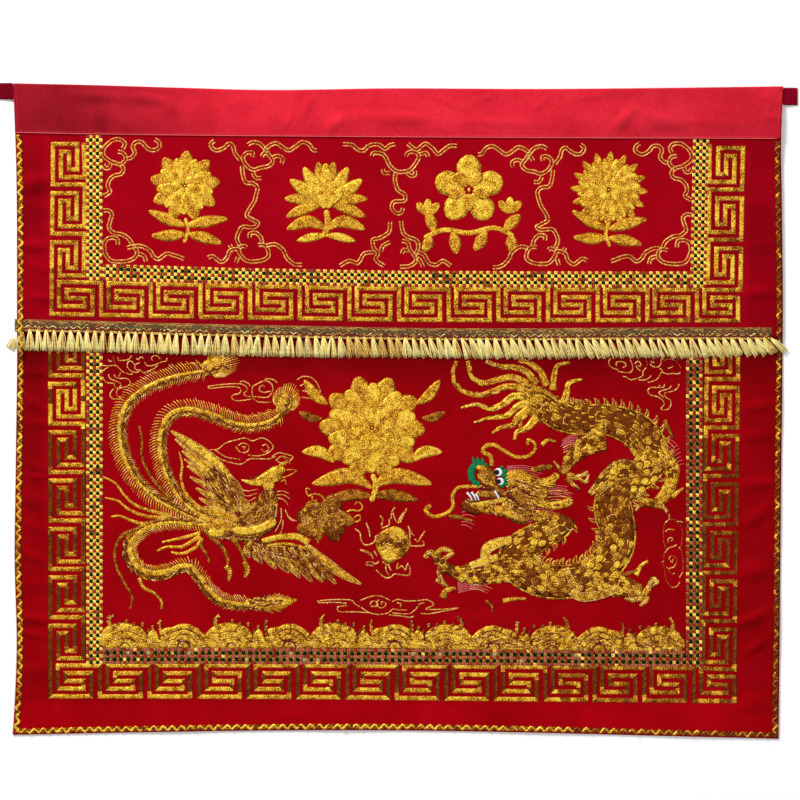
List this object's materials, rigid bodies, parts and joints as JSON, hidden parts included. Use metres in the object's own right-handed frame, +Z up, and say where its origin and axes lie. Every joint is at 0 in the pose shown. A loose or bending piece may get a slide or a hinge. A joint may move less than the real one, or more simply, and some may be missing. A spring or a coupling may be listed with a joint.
{
  "type": "embroidered altar cloth",
  "caption": "Rectangular embroidered cloth laid flat: a panel under a shorter fringed valance, with a folded heading band, tie ends, check ribbon borders and braided edges.",
  "frame": {"origin": "centre of the cloth's outline, on the surface that it lies on", "axes": "+X along the cloth's width to the right as seen face on, +Y towards the heading, +Z up out of the embroidered face"},
  "size_m": [1.0916, 0.8968, 0.0089],
  "materials": {
    "lower_panel": "deep red woven cloth",
    "valance": "deep red woven cloth",
    "heading": "lighter red cotton",
    "tie": "dark red cotton tape",
    "ribbon": "woven check ribbon in gold, black-green and red",
    "gimp": "plaited gold braid",
    "fringe": "pale gold rayon tassels under a woven braid"
  },
  "bodies": {
    "root": {"lower_panel": "lower_panel", "valance": "valance", "heading": "heading", "tie_left": "tie", "tie_right": "tie", "valance_ribbon": "ribbon", "panel_ribbon": "ribbon", "edge_gimp": "gimp", "fringe": "fringe"}
  },
  "joints": []
}
